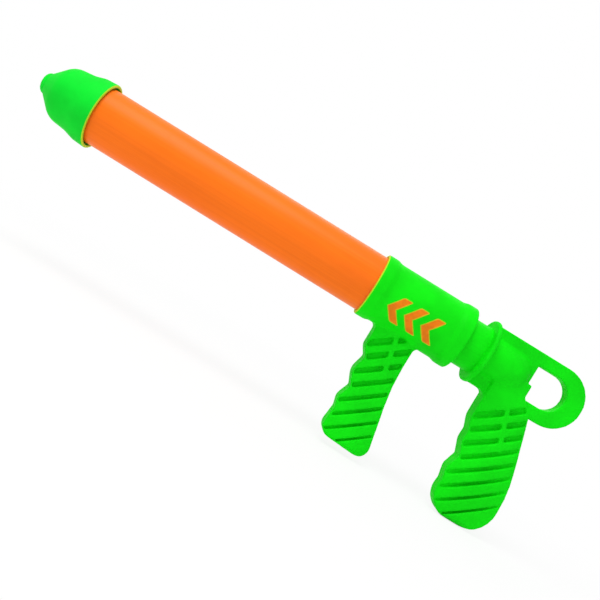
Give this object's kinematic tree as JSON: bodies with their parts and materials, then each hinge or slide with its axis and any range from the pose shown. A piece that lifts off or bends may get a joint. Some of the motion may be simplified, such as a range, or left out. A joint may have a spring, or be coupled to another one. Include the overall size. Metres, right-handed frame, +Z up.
{
  "type": "hand pump water squirter",
  "caption": "Hand pump water squirter: barrel tube with a domed nose cap and a ribbed grip on its collar, and a sliding plunger that ends in a ribbed grip with a finger loop.",
  "frame": {"origin": "centre of the water outlet at the mouth of the nozzle, on the barrel axis", "axes": "+X along the barrel from the nozzle to the rear handle, +Z up with both grips hanging along -Z, +Y to the right side seen from behind"},
  "size_m": [0.4803, 0.0542, 0.1493],
  "materials": {
    "shell_green": "moulded bright green, satin gloss",
    "barrel_orange": "extruded orange, satin gloss",
    "piston_white": "natural moulded plastic",
    "seal_rubber": "black rubber",
    "pin_steel": "plain drawn steel"
  },
  "bodies": {
    "barrel": {"nose_cap": "shell_green", "nozzle_tip": "shell_green", "cap_gasket": "seal_rubber", "barrel_tube": "barrel_orange", "front_handle": "shell_green", "guide_bush": "piston_white"},
    "seals": {"piston_seal_front": "seal_rubber", "piston_seal_rear": "seal_rubber"},
    "plunger": {"piston_head": "piston_white", "stop_bumper": "seal_rubber", "plunger_tube": "shell_green", "piston_pin": "pin_steel", "handle_pin": "pin_steel", "rear_handle": "shell_green"}
  },
  "joints": [
    {"name": "plunger_pull", "type": "slide", "parent": "barrel", "child": "seals", "axis": [1, 0, 0], "range_m": [0, 0.285]},
    {"name": "plunger_turn", "type": "hinge", "parent": "seals", "child": "plunger", "pos_m": [0.2, 0, 0], "axis": [1, 0, 0], "continuous": true}
  ]
}
